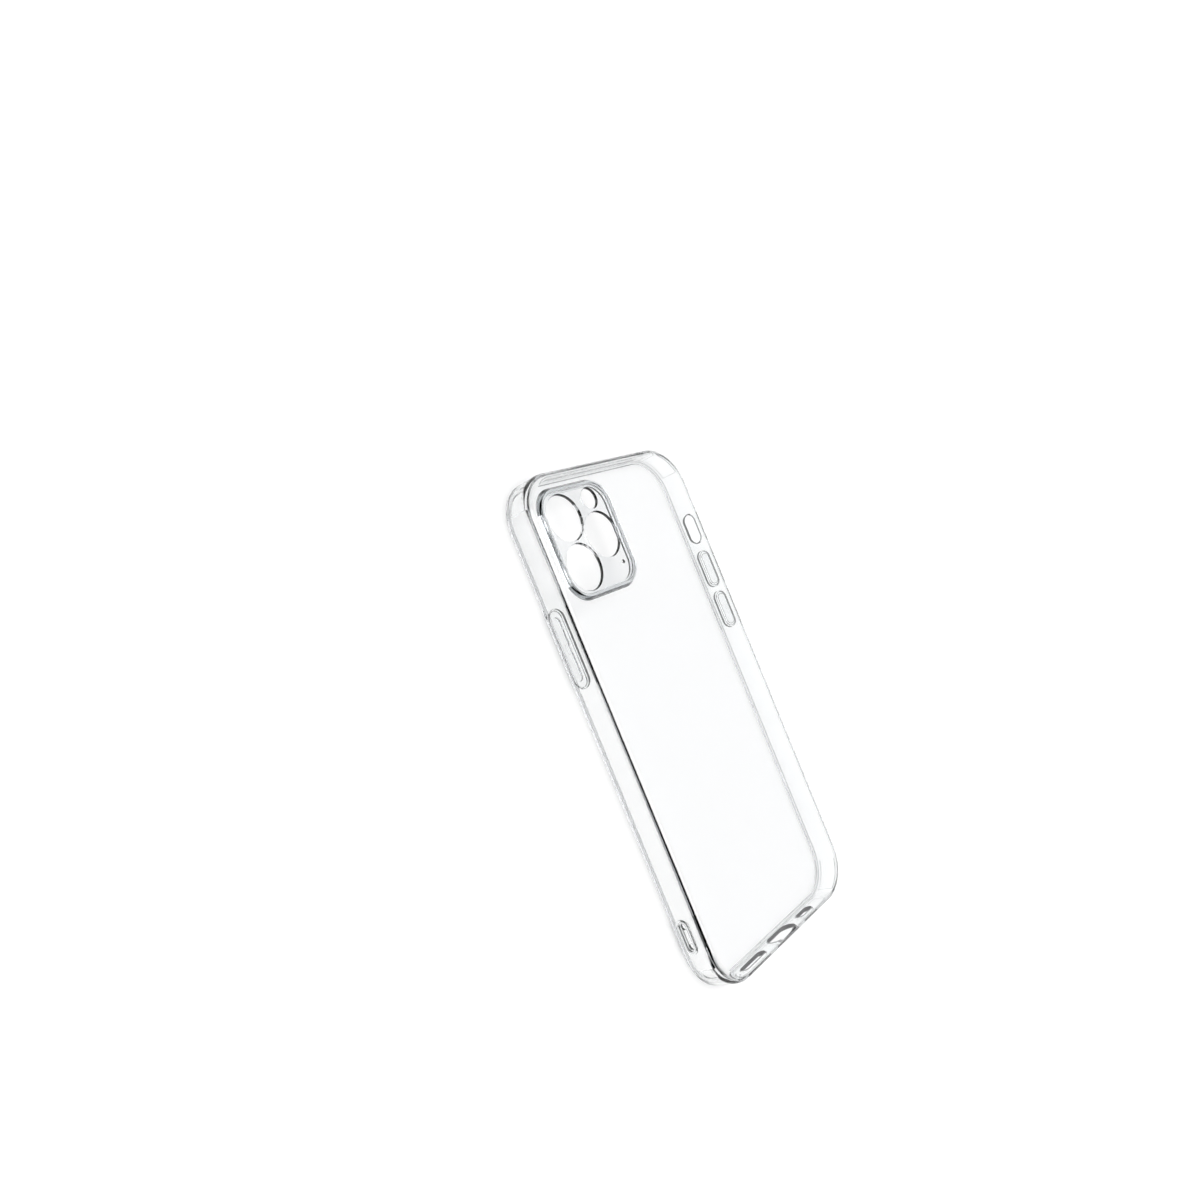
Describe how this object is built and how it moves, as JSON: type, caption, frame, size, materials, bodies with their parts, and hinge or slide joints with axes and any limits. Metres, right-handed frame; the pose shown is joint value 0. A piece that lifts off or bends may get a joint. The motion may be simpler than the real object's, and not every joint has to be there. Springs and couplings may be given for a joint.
{
  "type": "phone case",
  "caption": "Slim clear slip-on phone case with a raised camera surround, pressable side button covers, switch and port openings and a strap eyelet.",
  "frame": {"origin": "middle of the front lip's plane, which the case rests on when it lies face down", "axes": "+Z out of the back of the case, +Y towards the phone's top edge, +X to the right as seen from behind"},
  "size_m": [0.0754, 0.1498, 0.0104],
  "materials": {
    "clear_hard_back": "high-gloss clear polycarbonate, faint cool tint",
    "clear_soft_frame": "gloss clear flexible TPU",
    "clear_bezel": "gloss clear, raised camera ring",
    "clear_lens_plate": "gloss clear inset plate",
    "clear_button": "gloss clear flexible TPU",
    "clear_eyelet": "gloss clear flexible TPU"
  },
  "bodies": {
    "case_shell": {"bumper_frame": "clear_soft_frame", "back_panel": "clear_hard_back", "camera_bezel": "clear_bezel", "lens_plate": "clear_lens_plate", "lanyard_eyelet": "clear_eyelet"},
    "power_button": {"power_button_cap": "clear_button"},
    "volume_up_button": {"volume_up_cap": "clear_button"},
    "volume_down_button": {"volume_down_cap": "clear_button"}
  },
  "joints": [
    {"name": "power_button_press", "type": "slide", "parent": "case_shell", "child": "power_button", "axis": [1, 0, 0], "range_m": [0, 0.0004], "stiffness_N_per_m": 1500},
    {"name": "volume_up_press", "type": "slide", "parent": "case_shell", "child": "volume_up_button", "axis": [-1, 0, 0], "range_m": [0, 0.0004], "stiffness_N_per_m": 1500},
    {"name": "volume_down_press", "type": "slide", "parent": "case_shell", "child": "volume_down_button", "axis": [-1, 0, 0], "range_m": [0, 0.0004], "stiffness_N_per_m": 1500}
  ]
}
